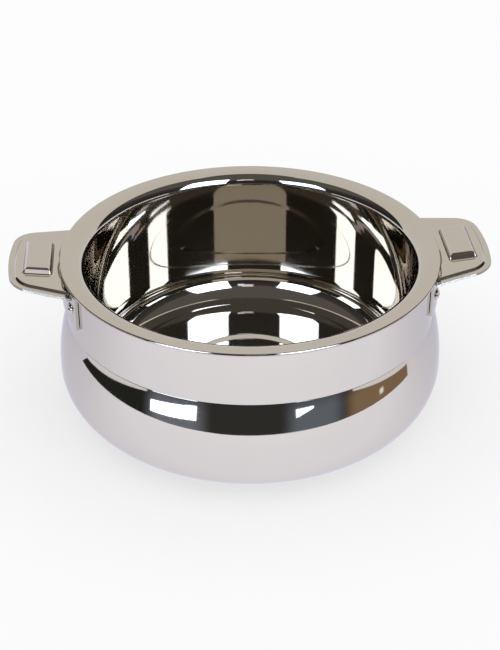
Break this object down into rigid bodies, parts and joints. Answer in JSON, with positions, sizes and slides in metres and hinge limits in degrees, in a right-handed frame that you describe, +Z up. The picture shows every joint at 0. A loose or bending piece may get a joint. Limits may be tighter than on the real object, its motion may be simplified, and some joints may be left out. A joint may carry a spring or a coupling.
{
  "type": "insulated serving pot",
  "caption": "Double-walled polished steel serving pot with a round belly, wide flat rim and flat hollow side handles, foam-filled to keep soup or stew hot at a buffet.",
  "frame": {"origin": "on the table, under the centre of the pot", "axes": "+Z up along the pot's axis, +X towards the right handle, the front faces -Y"},
  "size_m": [0.3288, 0.2694, 0.1184],
  "materials": {
    "polished_steel": "mirror-polished stainless steel",
    "satin_steel": "satin stainless steel",
    "fastener_steel": "bright zinc-plated steel",
    "foam": "rigid polyurethane foam",
    "plug_rubber": "moulded rubber"
  },
  "bodies": {
    "root": {"liner": "polished_steel", "outer_shell": "polished_steel", "insulation_foam": "foam", "base_pan": "satin_steel", "base_plug": "plug_rubber", "left_handle_top": "polished_steel", "left_handle_bottom": "polished_steel", "left_handle_bracket": "polished_steel", "left_backing_plate": "satin_steel", "left_bracket_rivets": "polished_steel", "left_handle_screws": "fastener_steel", "left_handle_nuts": "fastener_steel", "right_handle_top": "polished_steel", "right_handle_bottom": "polished_steel", "right_handle_bracket": "polished_steel", "right_backing_plate": "satin_steel", "right_bracket_rivets": "polished_steel", "right_handle_screws": "fastener_steel", "right_handle_nuts": "fastener_steel"}
  },
  "joints": []
}
